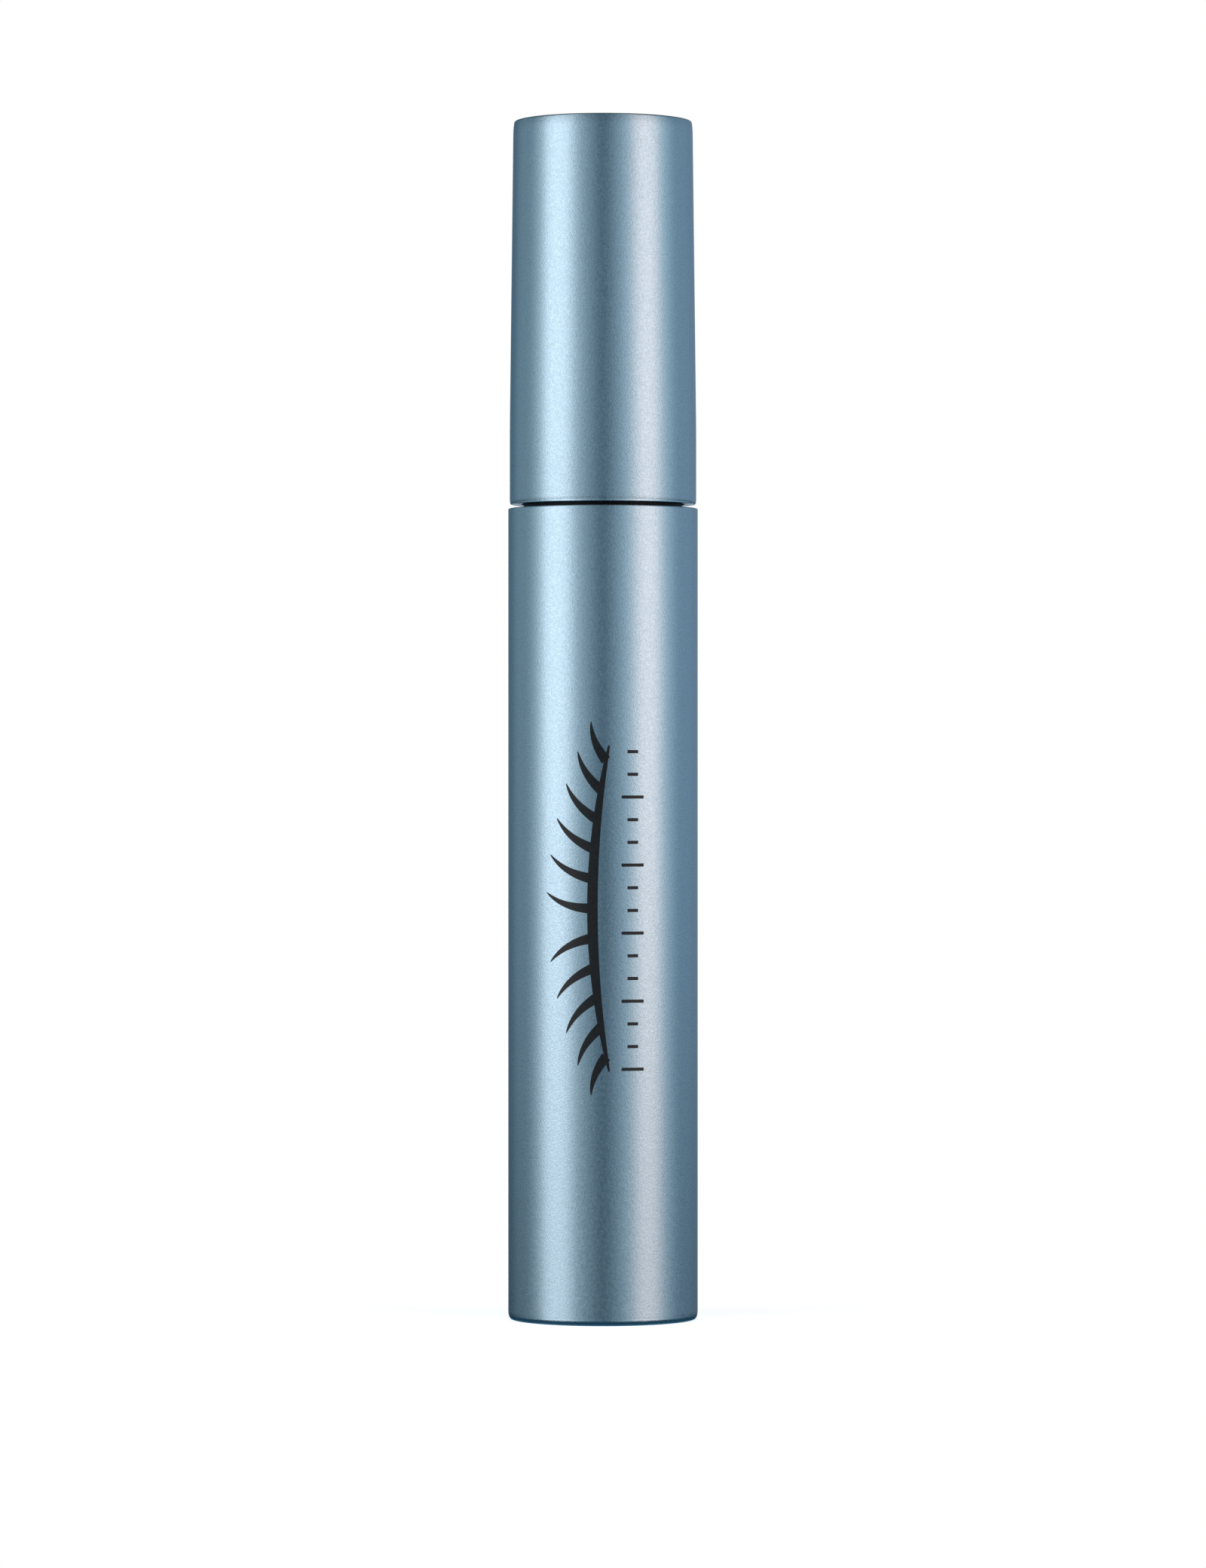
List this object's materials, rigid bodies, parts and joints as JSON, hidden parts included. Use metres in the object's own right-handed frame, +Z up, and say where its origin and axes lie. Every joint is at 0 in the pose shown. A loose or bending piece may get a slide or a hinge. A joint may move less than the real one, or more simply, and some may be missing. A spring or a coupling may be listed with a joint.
{
  "type": "mascara tube",
  "caption": "Slim round mascara tube in satin metallic blue: sleeve over a threaded bottle, and a screw cap with wand, moulded brush, wiper and weight.",
  "frame": {"origin": "centre of the underside, on the surface that the closed tube stands on", "axes": "+Z up along the tube's axis towards the cap, -Y towards the printed front, +X to the right seen from the front"},
  "size_m": [0.019, 0.019, 0.12],
  "materials": {
    "satin_blue_lacquer": "satin metallic lacquer with fine flake",
    "blue_plastic": "glossy moulded",
    "black_plastic": "satin moulded",
    "brush_elastomer": "matte",
    "natural_plastic": "milky, soft",
    "mascara": "wet black cream",
    "weight_steel": "turned steel",
    "label_paper": "blank film label"
  },
  "bodies": {
    "bottle": {"body_sleeve": "satin_blue_lacquer", "base_plug": "blue_plastic", "base_label": "label_paper", "inner_bottle": "black_plastic", "wiper": "natural_plastic", "mascara_fill": "mascara"},
    "seal": {"liner_washer": "natural_plastic"},
    "weight": {"cap_weight": "weight_steel"},
    "applicator": {"cap_shell": "satin_blue_lacquer", "inner_cap": "blue_plastic", "wand": "black_plastic", "brush_core": "black_plastic", "bristle_sleeve": "brush_elastomer"}
  },
  "joints": [
    {"name": "applicator_pull", "type": "slide", "parent": "bottle", "child": "seal", "axis": [0, 0, 1], "range_m": [0, 0.092], "deforming": ["bristle_sleeve"]},
    {"name": "cap_rise", "type": "slide", "parent": "seal", "child": "weight", "axis": [0, 0, 1], "range_m": [0, 0.00375]},
    {"name": "cap_turn", "type": "hinge", "parent": "weight", "child": "applicator", "pos_m": [0, 0, 0.1], "axis": [0, 0, 1], "range_deg": [0, 540]}
  ],
  "couplings": [
    {"joint": "cap_rise", "follows": "cap_turn", "m_per_rad": 0.00039789}
  ]
}
